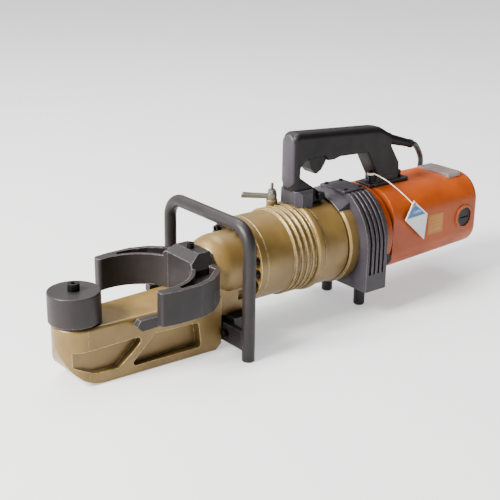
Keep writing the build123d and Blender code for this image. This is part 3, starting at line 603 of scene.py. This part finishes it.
BEAD_X, BEAD_Y = (-0.1143, -0.1063), (-0.0747, 0.0747)    # both faces of the strap, at both ends
BEAD_FOOT, BEAD_LONG = 0.012, 0.022
BEAD_R, BEAD_RIPPLE = 0.0017, 0.00035
BEAD_STEPS, RIPPLE_STEPS, BEAD_SIDES = 34, 4, 10


def bead(x, y):
    """A weld bead up the end of the bail's strap."""
    def build(shape):
        steps = range(BEAD_STEPS + 1)
        points = [Vector((x, y, BEAD_FOOT + BEAD_LONG * k / BEAD_STEPS)) for k in steps]
        radii = [BEAD_R + BEAD_RIPPLE * sin(2 * pi * k / RIPPLE_STEPS) for k in steps]
        tube(shape, points, radii, BEAD_SIDES)

    return build


for number, (x, y) in spots(BEAD_X, BEAD_Y):
    mesh_piece(f"weld_bead_{number}", bead(x, y), "tool_body", "black_paint")

LOOP_STEPS, LOOP_SIDES = 40, 10
STUD_LOOP_HEIGHTS = (0.1728, 0.1744)
STUD_X, STUD_Y = 0.156, -0.0085
STUD_LOOP_AXIS = (0.05, 0.1, 1)           # tipped a little, as string lies
STUD_LOOP_R = 0.0049
EYELET_CENTRE = (0.188, -0.0626, 0.137)
EYELET_R, EYELET_WIRE = 0.0024, 0.0006


def ring_of(centre, axis, radius, wire):
    """A builder for a closed loop of wire or cord."""
    def build(shape):
        _, side, other = axes_across(axis)
        points = circle(Vector(centre), side, other, radius, LOOP_STEPS)
        tube(shape, points, [wire] * LOOP_STEPS, LOOP_SIDES, closed=True)

    return build


for number, height in enumerate(STUD_LOOP_HEIGHTS, start=1):
    loop = ring_of((STUD_X, STUD_Y, height), STUD_LOOP_AXIS, STUD_LOOP_R, STRING_D / 2)
    mesh_piece(f"stud_loop_{number}", loop, "tool_body", "string")
eyelet = ring_of(EYELET_CENTRE, (0, 1, 0), EYELET_R, EYELET_WIRE)
mesh_piece("tag_eyelet", eyelet, "tool_body", "lever_steel")


# ---- stage -----------------------------------------------------------------------------
FLOOR_RADIUS, FLOOR_SIDES = 9.0, 96
FLOOR_DROP = 0.0006           # below the feet, so that the two faces don't meet
FLOOR_GLOW = 0.6
FLOOR_ROUGH = 0.9
WORLD_DIM, WORLD_BRIGHT = 0.03, 1.7
BRIGHT_SIDE = (-0.58, 0.55, 0.60)         # ahead of the nose, on the far side and overhead
BRIGHT_FROM, BRIGHT_TO = 0.0, 0.9
LIGHT_TARGET = (0, 0, 0.1)
# name, place, size, power in watts and tint
LIGHTS = (
    ("key", (-2.1, 0.1, 1.75), (0.9, 0.9), 320.0, (1.0, 0.96, 0.9)),
    ("top", (0.1, 0.9, 2.2), (2.0, 1.4), 70.0, (1.0, 1.0, 1.0)),
    ("low_sky", (-0.2, -1.8, 0.35), (1.6, 0.5), 2.0, (0.55, 0.75, 1.0)),
)


def make_stage():
    """A pale floor that sweeps away on all sides."""
    bpy.ops.mesh.primitive_circle_add(
        vertices=FLOOR_SIDES, radius=FLOOR_RADIUS, fill_type="NGON", location=(0, 0, -FLOOR_DROP))
    floor = bpy.context.object
    floor.name = "floor"
    paper = Finish(
        "floor_paper", Emission_Color=(1.0, 1.0, 1.0, 1.0), Emission_Strength=FLOOR_GLOW)
    shade = paper.spread(paper.noise(3.0, 3.0), 0.3, 0.7, 0.0, 1.0)
    base = paper.mix(shade, colour(190, 190, 191), colour(186, 186, 188))
    grain = paper.bump(paper.noise(160.0), 0.00005)
    floor.data.materials.append(paper.done(base, FLOOR_ROUGH, grain))


def soft_light(name, place, size, power, tint):
    """A rectangle of light that faces the tool."""
    data = bpy.data.lights.new(name, "AREA")
    data.shape = "RECTANGLE"
    data.size, data.size_y = size
    data.energy = power
    data.color = tint
    light = bpy.data.objects.new(name, data)
    light.location = place
    light.rotation_euler = (Vector(LIGHT_TARGET) - Vector(place)).to_track_quat("-Z", "Y").to_euler()
    bpy.context.scene.collection.objects.link(light)


def make_lights():
    """A room that is bright on one side, and the lamps."""
    world = bpy.data.worlds.new("studio")
    bpy.context.scene.world = world
    world.use_nodes = True
    tree = world.node_tree
    backdrop = tree.nodes["Background"]
    backdrop.inputs["Color"].default_value = (1.0, 1.0, 1.0, 1.0)
    bright_side = tree.nodes.new("ShaderNodeVectorMath")
    bright_side.operation = "DOT_PRODUCT"
    bright_side.inputs[1].default_value = BRIGHT_SIDE
    direction = tree.nodes.new("ShaderNodeTexCoord").outputs["Generated"]
    tree.links.new(direction, bright_side.inputs[0])
    level = tree.nodes.new("ShaderNodeMapRange")
    level.inputs["From Min"].default_value = BRIGHT_FROM
    level.inputs["From Max"].default_value = BRIGHT_TO
    level.inputs["To Min"].default_value = WORLD_DIM
    level.inputs["To Max"].default_value = WORLD_BRIGHT
    tree.links.new(bright_side.outputs["Value"], level.inputs["Value"])
    tree.links.new(level.outputs["Result"], backdrop.inputs["Strength"])
    for light in LIGHTS:
        soft_light(*light)


make_stage()
make_lights()
